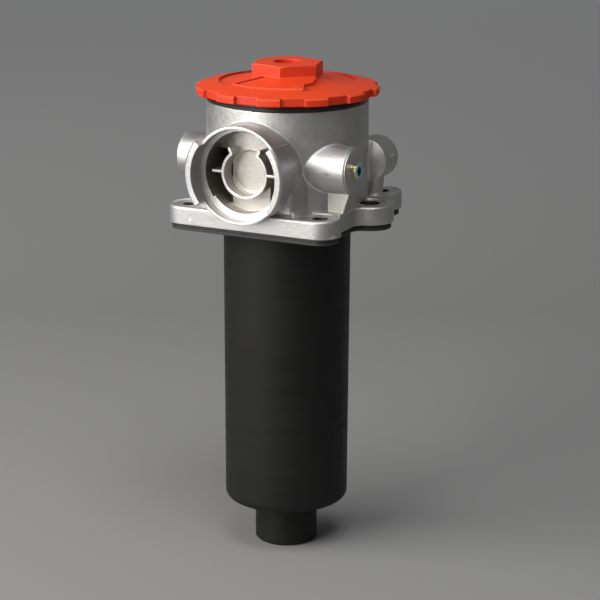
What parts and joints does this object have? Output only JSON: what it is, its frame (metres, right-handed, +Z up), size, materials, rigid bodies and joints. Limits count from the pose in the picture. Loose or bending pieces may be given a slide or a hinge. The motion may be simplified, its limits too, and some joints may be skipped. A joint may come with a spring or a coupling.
{
  "type": "hydraulic filter housing",
  "caption": "Tank-top return filter housing: cast head with side inlet, screw lid with hexagon, flange with gasket, long black bowl with outlet tube and element inside",
  "frame": {"origin": "centre of the four-hole bolt pattern, on the flange's underside", "axes": "+Z up, through the lid along the bowl's axis; -Y out of the inlet port; +X to the right when looking into the inlet port"},
  "size_m": [0.1312, 0.124, 0.2961],
  "materials": {
    "cast_aluminium": "die cast and fine blasted, machined only at its sealing faces",
    "gasket_rubber": "matt moulded",
    "seal_rubber": "satin moulded, oiled",
    "black_polyamide": "glass-filled, matt, faint mould bands",
    "red_polyamide": "glass-filled, satin, orange red",
    "yellow_zinc_steel": "zinc plated, yellow passivated",
    "spring_steel": "drawn wire, oiled",
    "filter_paper": "resin-treated pleated paper",
    "tinned_steel": "tinned perforated sheet",
    "natural_polyamide": "unfilled, satin"
  },
  "bodies": {
    "housing": {"head_casting": "cast_aluminium", "tank_gasket": "gasket_rubber", "filter_bowl": "black_polyamide", "bowl_o_ring": "seal_rubber", "bowl_retaining_ring": "spring_steel", "gauge_plug_right": "yellow_zinc_steel", "gauge_plug_left": "yellow_zinc_steel", "element_top_cap": "black_polyamide", "element_bottom_cap": "black_polyamide", "element_media": "filter_paper", "element_core": "tinned_steel", "element_o_ring": "seal_rubber", "bypass_seat": "natural_polyamide", "bypass_cage": "natural_polyamide", "bypass_spring": "spring_steel", "hold_down_spring": "spring_steel"},
    "lid_follower": {"lid_o_ring": "seal_rubber", "lid_seal_ring": "gasket_rubber"},
    "lid": {"screw_lid": "red_polyamide"},
    "poppet": {"bypass_poppet": "natural_polyamide"}
  },
  "joints": [
    {"name": "lid_rise", "type": "slide", "parent": "housing", "child": "lid_follower", "axis": [0, 0, 1], "range_m": [0, 0.012], "deforming": ["hold_down_spring"]},
    {"name": "lid_turn", "type": "hinge", "parent": "lid_follower", "child": "lid", "pos_m": [0, 0, 0.0733], "axis": [0, 0, 1], "range_deg": [0, 1080]},
    {"name": "bypass_lift", "type": "slide", "parent": "housing", "child": "poppet", "axis": [0, 0, -1], "range_m": [0, 0.004], "stiffness_N_per_m": 2500, "springref_m": -0.008, "deforming": ["bypass_spring"]}
  ],
  "couplings": [
    {"joint": "lid_rise", "follows": "lid_turn", "m_per_rad": 0.00063661}
  ]
}
